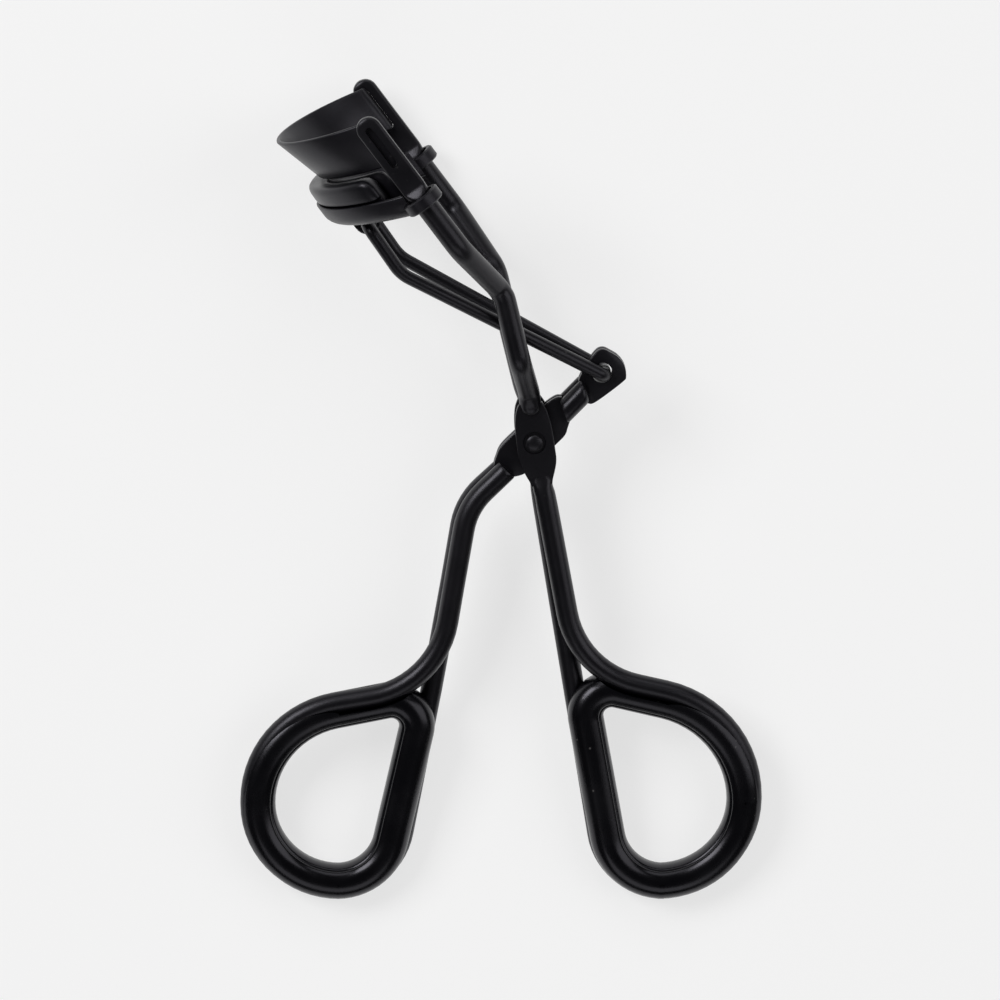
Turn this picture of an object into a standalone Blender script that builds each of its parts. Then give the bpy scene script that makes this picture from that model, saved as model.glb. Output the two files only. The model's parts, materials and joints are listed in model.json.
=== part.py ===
"""Eyelash curler, lying on its side.

A bent-wire frame lever and a bent-wire squeeze lever cross at one rivet. The upper jaw is fixed in
slots at the ends of the frame's guide bars. The lower jaw, which carries the lash pad, slides along
the frame's two guide rods and is pushed by a wire link hooked into the squeeze lever. A soft grip
runs round the finger loop of each lever.

Lengths are in millimetres and become metres when a mesh is made. Everything is drawn in the tool's
own frame: x across the handles, y from the rivet towards the jaws, w along the rivet. Around the
jaws the outlines use u along the guide rods and v across them, on the side away from the handles.
"""

import math

import bmesh
import bpy
from mathutils import Matrix, Vector

MM = 0.001
GAP = 0.3
BEND_STEP = math.radians(15)

# Guide rods and the flat bars at their ends
HEAD_ORIGIN = Vector((-21.7, 43.15, 0.0))
HEAD_ANGLE = math.radians(126.8)
GUIDE_W = 13.9
ROD_R = 1.45
BAR_TOP = 0.9
BAR_FOOT = -10.0
BAR_HALF_WIDTH = 1.58
BAR_HALF_THICK = 0.65
SLOT_TOP = -0.4
SLOT_FOOT = -6.95
SLOT_WIDTH = 0.9

# Lever wires
ARM_R = 1.4
HANDLE_R = 1.38
STRAND_W = 1.5
FRAME_REAR_SHIFT = -0.45
SQUEEZE_REAR_SHIFT = -0.25
PLATE_HALF_THICK = 0.45
PLATE_EDGE = 0.2
FRAME_PLATE_W = 1.8
SQUEEZE_PLATE_W = 0.6
# Flattened stretches: (y, centre x, half width) for the frame lever's plate, and (distance along,
# offset to the left, half width, slant) for the squeeze lever's plate and tab
FRAME_PLATE = (
    (5.1, -0.57, 1.5),
    (4.0, -0.42, 2.0),
    (1.9, -0.15, 2.33),
    (-1.3, 0.3, 2.4),
    (-2.6, 0.55, 2.3),
    (-3.9, 0.75, 1.9),
    (-4.9, 0.9, 1.5),
)
SQUEEZE_PLATE = (
    (5.1, 0.0, 1.9, 0.49),
    (4.3, 0.0, 2.2, 0.3),
    (3.2, 0.0, 2.35, 0.1),
    (2.0, 0.0, 2.35, 0.0),
    (-2.0, 0.15, 2.42, 0.0),
    (-3.8, 0.17, 2.3, 0.0),
    (-5.0, 0.17, 1.75, 0.0),
)
TAB = (
    (15.2, -0.2, 0.4, 0.0),
    (15.05, -0.2, 1.05, 0.0),
    (14.7, -0.2, 1.9, 0.05),
    (14.2, -0.19, 2.45, 0.04),
    (13.6, -0.18, 2.6, 0.0),
    (11.8, -0.14, 2.4, 0.12),
    (9.85, -0.04, 2.1, 0.36),
    (9.3, 0.0, 1.75, 0.5),
)

# Rivet and the holes round it
RIVET_R = 0.55
RIVET_HOLE_R = 0.85
RIVET_HEAD_R = 1.1
RIVET_TOP = 2.75
RECESS_R = 1.4
RECESS_DEPTH = 0.35

# Link and the tab that it hooks into
LINK_R = 0.85
HOOK = Vector((8.6, 8.88, 0.0))
HOOK_HOLE_R = 1.3
HOOK_LEG_W = 2.25
CROSSBAR_U = -11.8
CROSSBAR_V = 8.3
CROSSBAR_W = 5.8
LINK_BEND = Vector((-17.1, 22.65, 0.0))

# Upper jaw: a strip ruled between two arcs
SHEET = 0.6
JAW_LEAN = 0.27
UPPER_REACH = 12.3
UPPER_SEAT_V = 0.1
UPPER_FOOT = -6.4
UPPER_TOP = 0.1
UPPER_FOOT_BULGE = 9.65
UPPER_TOP_BULGE = 11.3
TAB_REACH = 14.45
TAB_THICK = 0.45

# Lower jaw: a curved channel with a collar on each rod and a sleeve on the link
JAW_CENTRE_V = -2.4
OUTER_WALL_R = 14.8
INNER_WALL_R = 11.6
JAW_END = math.radians(77)
INNER_WALL_TOP = -6.95
STEP_START = math.radians(66)
STEP_END = math.radians(70)
STEP_TOP = -9.8
FLOOR_EDGE_R = 1.5
COLLAR_BORE_R = 1.95
COLLAR_R = 2.5
COLLAR_TOP = -11.2
COLLAR_FOOT = -12.8
SLEEVE_BORE_R = 1.18
SLEEVE_R = 1.75
SLEEVE_REACH = 2.0

# Lash pad
PAD_END = math.radians(62)
PAD_TOP = -7.15

# Finger loops
GRIP_HALF_WIDTH = 2.3
GRIP_HALF_THICK = 2.3
GRIP_EDGE = 1.95
GROOVE_CLEAR = 1.68
GROOVE_START_Y = -18.0

HEAD_U = Vector((math.cos(HEAD_ANGLE), math.sin(HEAD_ANGLE), 0.0))
HEAD_V = Vector((-math.sin(HEAD_ANGLE), math.cos(HEAD_ANGLE), 0.0))
UP = Vector((0.0, 0.0, 1.0))

RIGHT_GRIP = (
    (5.95, -31.7, 3.3),
    (27.35, -36.8, 13.6),
    (27.35, -58.25, 11.0),
    (10.85, -58.25, 7.4),
)
LEFT_GRIP = (
    (-13.8, -33.2, 3.3),
    (-35.3, -37.5, 12.3),
    (-35.3, -58.1, 10.5),
    (-19.4, -58.1, 7.1),
)


def head(u, v=0.0, w=0.0):
    """A point given along, across and above the guide rods."""
    return HEAD_ORIGIN + u * HEAD_U + v * HEAD_V + w * UP


def blend(value, low, high):
    """0 below low, 1 above high, and a straight line between."""
    return min(1.0, max(0.0, (value - low) / (high - low)))


def around(centre, radius, degrees):
    angle = math.radians(degrees)
    return centre[0] + radius * math.cos(angle), centre[1] + radius * math.sin(angle)


def resting_tilt():
    """The slope of a flat surface that touches a finger loop's grip and the rear collar."""
    loop = Vector((RIGHT_GRIP[2][1], 0.0))
    collar = Vector((head(COLLAR_FOOT).y, -GUIDE_W - COLLAR_R))
    span = collar - loop
    return math.atan2(-span.y, span.x) - math.asin(GRIP_HALF_THICK / span.length)


REST = Matrix.Rotation(resting_tilt(), 4, "X")


def round_wire(radius):
    return (radius, radius, radius)


def flat_wire(half_width, half_thick=PLATE_HALF_THICK):
    return (half_width, half_thick, min(PLATE_EDGE, half_width))


def outline(half_width, half_thick, edge, steps=3):
    """A rounded rectangle drawn anticlockwise, with a number of points on each corner."""
    points = []
    for quarter, (right, top) in enumerate(((1, 1), (-1, 1), (-1, -1), (1, -1))):
        for step in range(steps):
            angle = math.pi / 2 * (quarter + (step + 0.5) / steps)
            across = right * (half_width - edge) + edge * math.cos(angle)
            points.append((across, top * (half_thick - edge) + edge * math.sin(angle)))
    return points


def stop(point, w, section, bend=0.0, slant=0.0):
    """One corner of a wire: its place, its section, its bend radius and how far the section slants."""
    return Vector((point[0], point[1], w)), section, bend, slant


def bend_stations(before, corner, after, radius):
    """Points and directions round one filleted corner."""
    way_in = (corner - before).normalized()
    way_out = (after - corner).normalized()
    turn = way_in.angle(way_out)
    start = corner - way_in * radius * math.tan(turn / 2)
    side = (way_out - way_in * way_in.dot(way_out)).normalized()
    count = max(1, math.ceil(turn / BEND_STEP))
    stations = []
    for step in range(count + 1):
        angle = turn * step / count
        point = start + radius * (way_in * math.sin(angle) + side * (1 - math.cos(angle)))
        stations.append((point, way_in * math.cos(angle) + side * math.sin(angle)))
    return stations


def stations_along(stops, closed=False):
    """(point, direction, section) along a wire. A corner with no bend keeps its section upright."""
    found = []
    last = len(stops) - 1
    for index, (point, section, bend, slant) in enumerate(stops):
        before = stops[index - 1][0] if index or closed else None
        after = stops[(index + 1) % len(stops)][0] if index < last or closed else None
        if bend:
            for place, direction in bend_stations(before, point, after, bend):
                found.append((place, direction, section))
            continue
        direction = Vector((0.0, 0.0, 0.0))
        if before is not None:
            direction += ((point - before) * Vector((1, 1, 0))).normalized()
        if after is not None:
            direction += ((after - point) * Vector((1, 1, 0))).normalized()
        direction.normalize()
        direction -= slant * UP.cross(direction)
        found.append((point, direction.normalized(), section))
    return found


def rings_along(stations, steps=3):
    """The section's points at every station, with its width kept across the plane of the tool."""
    rings = []
    for place, direction, section in stations:
        side = UP.cross(direction).normalized()
        rise = direction.cross(side)
        rings.append([place + side * a + rise * b for a, b in outline(*section, steps)])
    return rings


def loft(name, rings, origin=(0.0, 0.0, 0.0), closed=False):
    """A closed body through rings of points, standing in the tool's frame with its origin given."""
    start = Vector(origin)
    mesh = bpy.data.meshes.new(name)
    body = bmesh.new()
    rows = [[body.verts.new((Vector(p) - start) * MM) for p in ring] for ring in rings]
    pairs = list(zip(rows, rows[1:] + rows[:1] if closed else rows[1:]))
    for near, far in pairs:
        for index in range(len(near)):
            following = (index + 1) % len(near)
            body.faces.new((near[index], near[following], far[following], far[index]))
    if not closed:
        body.faces.new(rows[0])
        body.faces.new(rows[-1])
    bmesh.ops.recalc_face_normals(body, faces=body.faces)
    for face in body.faces:
        face.smooth = len(face.verts) == 4
    body.to_mesh(mesh)
    body.free()
    made = bpy.data.objects.new(name, mesh)
    bpy.context.scene.collection.objects.link(made)
    made.matrix_world = REST @ Matrix.Translation(start * MM)
    return made


def combine(target, tools, operation, solver="EXACT"):
    """Joins the tools to the target, or cuts them from it."""
    for tool in tools:
        modifier = target.modifiers.new(tool.name, "BOOLEAN")
        modifier.operation = operation
        modifier.solver = solver
        modifier.object = tool
        tool.hide_render = True
        tool.display_type = "WIRE"


def cylinder(name, centre, axis, radii, sides=24):
    """A turned body about an axis through the centre, from (radius, height) pairs."""
    turn = axis.to_track_quat("Z", "Y")
    rings = []
    for radius, height in radii:
        ring = []
        for side in range(sides):
            angle = 2 * math.pi * side / sides
            spoke = Vector((radius * math.cos(angle), radius * math.sin(angle), height))
            ring.append(centre + turn @ spoke)
        rings.append(ring)
    return loft(name, rings)


def rod(name, centre, axis, radius, low, high):
    return cylinder(name, centre, axis, ((radius, low), (radius, high)))


def bar_end(distance):
    """Half the guide bar's width at a distance from its rounded end."""
    inside = BAR_HALF_WIDTH - distance
    return math.sqrt(BAR_HALF_WIDTH**2 - inside**2)


def frame_handle(y, side):
    """The centre line of a strand of the frame lever's handle; side is +1 or -1."""
    if side > 0:
        return 1.7 - 0.1885 * (y + 8.5), y
    return 3.2 - 0.1665 * (y + 20.0), y


def squeeze_handle(y):
    return -8.91 + 0.167 * (y + 11.14), y


def frame_arm(side):
    """The frame lever's strand from the end of its guide bar to its handle."""
    shift = FRAME_REAR_SHIFT if side < 0 else 0.0
    bar_edge = (BAR_HALF_WIDTH, BAR_HALF_THICK, 0.25)
    arm = round_wire(ARM_R)
    stops = []
    for distance in (0.08, 0.45, 1.0, BAR_HALF_WIDTH):
        half = bar_end(distance)
        edge = min(0.25, half)
        stops.append(stop(head(BAR_TOP - distance), side * GUIDE_W, (half, BAR_HALF_THICK, edge)))
    stops += [
        stop(head(BAR_FOOT), side * GUIDE_W, bar_edge),
        stop(head(BAR_FOOT - 1.2), side * GUIDE_W, round_wire(ROD_R)),
        stop(head(-19.8), side * GUIDE_W, round_wire(ROD_R), 3.5),
        stop(head(-27.8, -0.2), side * 6.6, arm, 2.5),
        stop((-4.05 + shift, 19.7), side * 6.5, arm, 2.5),
        stop((-2.0 + shift, 11.3), side * 6.6, arm, 2.5),
        stop((-0.7 + shift, 6.4), side * 1.85, arm, 2.5),
    ]
    for y, x, half_width in FRAME_PLATE:
        stops.append(stop((x, y), side * FRAME_PLATE_W, flat_wire(half_width)))
    stops += [
        stop(frame_handle(-6.1, side), side * 1.7, round_wire(1.3)),
        stop(frame_handle(-8.5, side), side * STRAND_W, round_wire(HANDLE_R)),
    ]
    return stops


def frame_path():
    handle = round_wire(HANDLE_R)
    loop = [
        stop(frame_handle(-30.1, 1), STRAND_W, handle, 12.0),
        stop((28.2, -35.4), 0.9, handle, 14.6),
        stop((28.2, -59.35), -0.1, handle, 12.2),
        stop(frame_handle(-59.35, -1), -1.0, handle, 8.5),
        stop(frame_handle(-33.0, -1), -STRAND_W, handle),
        stop(frame_handle(-20.0, -1), -STRAND_W, handle),
    ]
    return frame_arm(1) + loop + frame_arm(-1)[::-1]


def squeeze_arm(side):
    """The squeeze lever's strand from its tab to its handle; side is +1 or -1."""
    out = HOOK.normalized()
    left = UP.cross(out)
    shift = SQUEEZE_REAR_SHIFT if side < 0 else 0.0
    arm = round_wire(ARM_R)
    arm_w = ARM_R + 0.12
    stops = []
    for along, offset, half, slant in TAB:
        section = flat_wire(half * math.hypot(1.0, slant))
        stops.append(stop(out * along + left * offset, side * SQUEEZE_PLATE_W, section, 0.0, slant))
    stops.append(stop(out * 8.75, side * arm_w, arm, 0.0, 0.45))
    stops.append(stop(out * 5.55, side * arm_w, arm, 0.0, 0.45))
    for along, offset, half, slant in SQUEEZE_PLATE:
        section = flat_wire(half * math.hypot(1.0, slant))
        stops.append(stop(out * along + left * offset, side * SQUEEZE_PLATE_W, section, 0.0, slant))
    handle_x, handle_y = squeeze_handle(-19.0)
    stops += [
        stop(out * -5.4, side * arm_w, arm),
        stop((-8.46 + shift, -8.5), side * arm_w, arm, 9.0),
        stop((handle_x + shift, handle_y), side * STRAND_W, round_wire(HANDLE_R)),
    ]
    return stops


def squeeze_path():
    handle = round_wire(HANDLE_R)
    loop = [
        stop((-12.35, -31.95), STRAND_W, handle, 12.0),
        stop((-36.15, -36.1), 0.9, handle, 13.3),
        stop((-36.15, -59.2), -0.1, handle, 11.5),
        stop((-18.0, -59.2), -1.0, handle, 9.0),
        stop((-12.95, -33.0), -STRAND_W, handle),
    ]
    return squeeze_arm(1) + loop + squeeze_arm(-1)[::-1]


def rivet_cutters(name, outer_face):
    """The rivet's hole, and a shallow recess in each outer face."""
    origin = Vector((0.0, 0.0, 0.0))
    cutters = [rod(f"{name}_rivet_hole", origin, UP, RIVET_HOLE_R, -4.0, 4.0)]
    if outer_face:
        for side in (1, -1):
            bottom = side * (outer_face - RECESS_DEPTH)
            ends = sorted((bottom, side * (outer_face + 1.0)))
            cutters.append(rod(f"{name}_recess_{side}", origin, UP, RECESS_R, *ends))
    return cutters


def slot_cutter(side):
    """The slot through a guide bar's thickness."""
    half = (SLOT_TOP - SLOT_FOOT) / 2
    rings = []
    for w in sorted((side * (GUIDE_W - 1.5), side * (GUIDE_W + 1.5))):
        ring = []
        for across, along in outline(SLOT_WIDTH / 2, half, SLOT_WIDTH / 2, 4):
            ring.append(head(SLOT_TOP - half + along, UPPER_SEAT_V + across, w))
        rings.append(ring)
    return loft(f"slot_cutter_{side}", rings)


def groove_cutters(name, path, outward):
    """Two channels along the loop's wire, in from the front and out at the rear, open outwards."""
    course = [station for station in stations_along(path) if station[0].y < GROOVE_START_Y]
    middle = len(course) // 2
    cutters = []
    for label, part, clear in (
        ("front", course[: middle + 1], GROOVE_CLEAR),
        ("rear", course[middle - 1 :], GROOVE_CLEAR + 0.03),
    ):
        rings = []
        for place, direction, _ in part:
            side = UP.cross(direction).normalized() * outward
            ring = []
            for across, rise in ((-clear, -1), (3.0, -1), (3.0, 1), (-clear, 1)):
                ring.append(place + side * across + UP * rise * clear)
            rings.append(ring)
        cutters.append(loft(f"{name}_{label}", rings))
    return cutters


def grip(name, corners, path, outward):
    stops = []
    for x, y, bend in corners:
        stops.append(stop((x, y), 0.0, (GRIP_HALF_WIDTH, GRIP_HALF_THICK, GRIP_EDGE), bend))
    made = loft(name, rings_along(stations_along(stops, closed=True), 4), closed=True)
    combine(made, groove_cutters(f"{name}_groove", path, outward), "DIFFERENCE", "MANIFOLD")
    return made


def arc_through(bulge):
    """Centre and radius of the arc through both seats of the upper jaw with a given bulge."""
    rise = bulge - UPPER_SEAT_V
    radius = (UPPER_REACH**2 + rise**2) / (2 * rise)
    return bulge - radius, radius


def upper_plan(bulge):
    """(v, w, outward normal) along half the upper jaw, from its middle to the end of its tab."""
    centre, radius = arc_through(bulge)
    end = math.asin(UPPER_REACH / radius)
    if bulge - radius > UPPER_SEAT_V:
        end = math.pi - end
    points = []
    for step in range(15):
        angle = 0.92 * end * step / 14
        normal = (math.cos(angle), math.sin(angle))
        points.append((centre + radius * normal[0], radius * normal[1], normal))
    before = Vector((points[-1][0], points[-1][1], 0.0))
    corner = Vector((UPPER_SEAT_V, UPPER_REACH, 0.0))
    way_in = (corner - before).normalized()
    way_out = Vector((0.0, 1.0, 0.0))
    turn = way_in.angle(way_out)
    side = (way_out - way_in * way_in.dot(way_out)).normalized()
    bend = 0.8
    start = corner - way_in * bend * math.tan(turn / 2)
    for step in range(5):
        angle = turn * step / 4
        place = start + bend * (way_in * math.sin(angle) + side * (1 - math.cos(angle)))
        way = way_in * math.cos(angle) + side * math.sin(angle)
        points.append((place.x, place.y, (way.y, -way.x)))
    for reach in (UPPER_REACH + 0.9, TAB_REACH):
        points.append((UPPER_SEAT_V, reach, (1.0, 0.0)))
    return points


def upper_jaw():
    """A thin strip that leans outwards, with a tab at each end in the guide bar's slot."""
    half = []
    count = len(upper_plan(UPPER_FOOT_BULGE))
    rows = zip(upper_plan(UPPER_FOOT_BULGE), upper_plan(UPPER_TOP_BULGE))
    for index, ((v0, w0, n0), (v1, w1, n1)) in enumerate(rows):
        in_slot = index >= count - 2
        thick = TAB_THICK / 2 if in_slot else SHEET / 2
        foot = UPPER_FOOT + JAW_LEAN * v0
        top = SLOT_TOP - 0.35 if in_slot else UPPER_TOP + JAW_LEAN * v1
        half.append(((v0, w0, n0, foot), (v1, w1, n1, top), thick))
    rings = []
    for mirror, part in ((-1, half[:0:-1]), (1, half)):
        for low, high, thick in part:
            ring = []
            for (v, w, normal, u), sign in ((low, -1), (low, 1), (high, 1), (high, -1)):
                across = v + sign * thick * normal[0]
                ring.append(head(u, across, mirror * (w + sign * thick * normal[1])))
            rings.append(ring)
    return loft("upper_jaw", rings)


def on_jaw(radius, angle, height):
    """A point of the lower jaw: radius and angle about its own centre, and a leaning height."""
    v = JAW_CENTRE_V + radius * math.cos(angle)
    return head(height + JAW_LEAN * v, v, radius * math.sin(angle))


def shoulder(angle):
    return -9.7 - 0.7 * blend(abs(angle), 0.0, JAW_END)


def floor(angle):
    """The underside of the lower jaw's channel, deeper towards the collars."""
    return -12.95 - 0.75 * blend(abs(angle), 0.0, JAW_END) ** 2


def channel_section(angle):
    """The lower jaw's U-shaped section as (radius, height) points."""
    step = blend(abs(angle), STEP_START, STEP_END)
    wall = INNER_WALL_TOP + (STEP_TOP - INNER_WALL_TOP) * step
    edge = shoulder(angle)
    low = floor(angle)
    inner = INNER_WALL_R - SHEET
    outer = OUTER_WALL_R - SHEET
    points = [(inner, wall), (INNER_WALL_R, wall), (INNER_WALL_R, low + SHEET)]
    centre = (OUTER_WALL_R - FLOOR_EDGE_R, low + FLOOR_EDGE_R)
    for turn in (-90, -60, -30, 0):
        points.append(around(centre, FLOOR_EDGE_R - SHEET, turn))
    points += [(outer, edge), (OUTER_WALL_R, edge)]
    for turn in (0, -30, -60, -90):
        points.append(around(centre, FLOOR_EDGE_R, turn))
    points += [(inner + 0.35, low), (inner, low + 0.35)]
    return points


def lower_jaw():
    """A curved channel, with a collar round each guide rod and a sleeve round the link."""
    angles = [math.radians(6 * step) for step in range(11)]
    angles += [STEP_START, STEP_END, math.radians(73), JAW_END]
    angles = [-angle for angle in angles[:0:-1]] + angles
    rings = [[on_jaw(r, angle, h) for r, h in channel_section(angle)] for angle in angles]
    made = loft("lower_jaw", rings, head((COLLAR_TOP + COLLAR_FOOT) / 2))
    sleeve_centre = head(CROSSBAR_U, CROSSBAR_V)
    joined = [rod("sleeve_body", sleeve_centre, UP, SLEEVE_R, -SLEEVE_REACH, SLEEVE_REACH)]
    tongue = []
    for w in (-SLEEVE_REACH, SLEEVE_REACH):
        corners = ((0.0, 0.0), (SLEEVE_R, 0.0), (SLEEVE_R, 1.75), (0.6, 1.45))
        ring = [head(CROSSBAR_U + rise, CROSSBAR_V + across, w) for across, rise in corners]
        tongue.append(ring)
    joined.append(loft("sleeve_tongue", tongue))
    bores = [rod("sleeve_bore", sleeve_centre, UP, SLEEVE_BORE_R, -4.0, 4.0)]
    for side in (1, -1):
        centre = head(0.0, 0.0, side * GUIDE_W)
        collar = (COLLAR_R, COLLAR_FOOT, COLLAR_TOP)
        joined.append(rod(f"collar_body_{side}", centre, HEAD_U, *collar))
        bores.append(rod(f"collar_bore_{side}", centre, HEAD_U, COLLAR_BORE_R, -18.0, -6.0))
    combine(made, joined, "UNION")
    combine(made, bores, "DIFFERENCE")
    return made


def lash_pad():
    """A curved cushion seated in the channel, with a lip over the channel's outer wall."""
    seat = INNER_WALL_R + GAP
    wall = OUTER_WALL_R - SHEET - GAP
    rings = []
    stations = (0, 0.5, 1.5, 3, 6, *range(10, 121, 6), 121, 122.5, 123.5, 124)
    for degrees in stations:
        angle = math.radians(degrees - 62)
        lip = shoulder(angle) + GAP
        low = floor(0.0) + SHEET + GAP
        section = [
            (seat, low),
            (wall, low),
            (wall, lip - 0.1),
            (14.3, lip + 0.15),
            (14.45, lip + 0.8),
            (14.35, PAD_TOP - 0.65),
            (13.95, PAD_TOP - 0.2),
            (13.3, PAD_TOP),
            (12.5, PAD_TOP),
            (12.05, PAD_TOP - 0.15),
            (seat, PAD_TOP - 0.5),
        ]
        inset = 1.0 - math.sqrt(1.0 - (1.0 - blend(PAD_END - abs(angle), 0.0, 0.1)) ** 2)
        shrink = 1.0 - 0.6 * inset
        centre = (13.1, -9.3)
        ring = []
        for radius, height in section:
            across = centre[0] + (radius - centre[0]) * shrink
            ring.append(on_jaw(across, angle, centre[1] + (height - centre[1]) * shrink))
        rings.append(ring)
    return loft("lash_pad", rings, head((COLLAR_TOP + COLLAR_FOOT) / 2))


def rounded_line(corners):
    """The two ends of a line given as (corner, bend radius) pairs, and the points round each bend."""
    found = [corners[0][0]]
    for before, (corner, bend), after in zip(corners, corners[1:], corners[2:]):
        found += [place for place, _ in bend_stations(before[0], corner, after[0], bend)]
    found.append(corners[-1][0])
    return found


def push_link():
    """One bent wire: a hooked leg on each side, joined by the crossbar in the jaw's sleeve."""
    crossbar = head(CROSSBAR_U, CROSSBAR_V)
    half = [
        (HOOK + UP * 0.25, 0.0),
        (HOOK + UP * HOOK_LEG_W, 1.1),
        (LINK_BEND + UP * CROSSBAR_W, 5.0),
        (crossbar + UP * CROSSBAR_W, 1.3),
    ]
    corners = half + [(point * Vector((1, 1, -1)), bend) for point, bend in half[::-1]]
    curve = bpy.data.curves.new("push_link", "CURVE")
    curve.dimensions = "3D"
    curve.bevel_depth = LINK_R * MM
    curve.bevel_resolution = 4
    curve.use_fill_caps = True
    spline = curve.splines.new("POLY")
    points = [(place - HOOK) * MM for place in rounded_line(corners)]
    spline.points.add(len(points) - 1)
    for item, place in zip(spline.points, points):
        item.co = (*place, 1.0)
    spline.use_smooth = True
    made = bpy.data.objects.new("push_link", curve)
    bpy.context.scene.collection.objects.link(made)
    made.matrix_world = REST @ Matrix.Translation(HOOK * MM)
    return made


def pivot_rivet():
    """A headed pin through the four flattened plates."""
    shelf = FRAME_PLATE_W + PLATE_HALF_THICK - RECESS_DEPTH + GAP
    half = (
        (RIVET_R, 0.0),
        (RIVET_R, shelf),
        (RIVET_HEAD_R, shelf),
        (RIVET_HEAD_R, shelf + 0.15),
        (0.95, shelf + 0.38),
        (0.6, RIVET_TOP - 0.07),
        (0.2, RIVET_TOP),
    )
    profile = [(radius, -height) for radius, height in half[:0:-1]] + list(half[1:])
    return cylinder("pivot_rivet", Vector((0.0, 0.0, 0.0)), UP, profile)


def paint(made, name, colour, roughness, metallic):
    material = bpy.data.materials.new(name)
    material.use_nodes = True
    surface = material.node_tree.nodes["Principled BSDF"]
    surface.inputs["Base Color"].default_value = (*colour, 1.0)
    surface.inputs["Roughness"].default_value = roughness
    surface.inputs["Metallic"].default_value = metallic
    made.data.materials.clear()
    made.data.materials.append(material)


def build():
    for item in list(bpy.data.objects):
        bpy.data.objects.remove(item, do_unlink=True)
    frame = loft("frame_lever", rings_along(stations_along(frame_path())))
    combine(frame, [slot_cutter(1), slot_cutter(-1)], "DIFFERENCE")
    combine(frame, rivet_cutters("frame", FRAME_PLATE_W + PLATE_HALF_THICK), "DIFFERENCE")
    squeeze = loft("squeeze_lever", rings_along(stations_along(squeeze_path())))
    combine(squeeze, rivet_cutters("squeeze", 0.0), "DIFFERENCE")
    combine(squeeze, [rod("hook_hole", HOOK, UP, HOOK_HOLE_R, -2.5, 2.5)], "DIFFERENCE")
    steel = (0.02, 0.02, 0.022)
    paint(frame, "frame_black", steel, 0.38, 0.6)
    paint(squeeze, "squeeze_black", steel, 0.38, 0.6)
    paint(pivot_rivet(), "rivet_black", steel, 0.3, 0.8)
    paint(push_link(), "link_black", steel, 0.35, 0.6)
    paint(upper_jaw(), "upper_jaw_black", steel, 0.42, 0.5)
    paint(lower_jaw(), "lower_jaw_black", steel, 0.42, 0.5)
    paint(lash_pad(), "pad_silicone", (0.015, 0.015, 0.016), 0.6, 0.0)
    rubber = (0.012, 0.012, 0.013)
    paint(grip("right_grip", RIGHT_GRIP, frame_path(), 1), "right_grip_rubber", rubber, 0.35, 0.0)
    paint(grip("left_grip", LEFT_GRIP, squeeze_path(), -1), "left_grip_rubber", rubber, 0.35, 0.0)
    centre_on_floor()


def centre_on_floor():
    """Moves the tool so that it rests on the floor, with the middle of its box over the origin."""
    bpy.context.view_layer.update()
    graph = bpy.context.evaluated_depsgraph_get()
    corners = []
    for made in bpy.context.scene.objects:
        if made.hide_render:
            continue
        shape = made.evaluated_get(graph).to_mesh()
        corners += [made.matrix_world @ vertex.co for vertex in shape.vertices]
        made.evaluated_get(graph).to_mesh_clear()
    low = [min(corner[axis] for corner in corners) for axis in range(3)]
    high = [max(corner[axis] for corner in corners) for axis in range(3)]
    shift = Vector((-(low[0] + high[0]) / 2, -(low[1] + high[1]) / 2, -low[2]))
    for made in bpy.context.scene.objects:
        made.location += shift


build()
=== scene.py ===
import json
import math

import bmesh
import bpy
import numpy as np
from mathutils import Matrix, Vector


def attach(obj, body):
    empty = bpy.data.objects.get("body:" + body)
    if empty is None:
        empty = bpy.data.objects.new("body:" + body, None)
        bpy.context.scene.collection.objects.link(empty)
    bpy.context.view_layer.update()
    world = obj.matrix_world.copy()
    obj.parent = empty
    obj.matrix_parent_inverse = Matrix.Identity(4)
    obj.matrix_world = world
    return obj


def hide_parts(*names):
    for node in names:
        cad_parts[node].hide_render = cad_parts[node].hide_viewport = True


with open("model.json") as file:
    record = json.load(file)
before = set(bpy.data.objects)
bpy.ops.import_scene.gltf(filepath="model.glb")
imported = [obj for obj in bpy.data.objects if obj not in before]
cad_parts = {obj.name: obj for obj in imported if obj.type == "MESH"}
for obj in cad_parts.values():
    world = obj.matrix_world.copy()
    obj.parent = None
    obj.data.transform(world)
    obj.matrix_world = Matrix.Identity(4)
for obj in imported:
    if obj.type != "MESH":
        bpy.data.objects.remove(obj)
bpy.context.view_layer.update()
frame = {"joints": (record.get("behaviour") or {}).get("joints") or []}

# Lengths are millimetres in the tool's own frame: x across the handles, y from the rivet to the
# jaws, w along the rivet. u and v run along and across the guide rods.
MM = 0.001
FINE_BEND = math.radians(6)
SHARP_DEGREES = 40
CORNER_POINTS = 7
HEAD_ORIGIN = Vector((-21.7, 43.15, 0.0))
HEAD_ANGLE = math.radians(126.8)
HEAD_U = Vector((math.cos(HEAD_ANGLE), math.sin(HEAD_ANGLE), 0.0))
HEAD_V = Vector((-math.sin(HEAD_ANGLE), math.cos(HEAD_ANGLE), 0.0))
UP = Vector((0.0, 0.0, 1.0))

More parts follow.
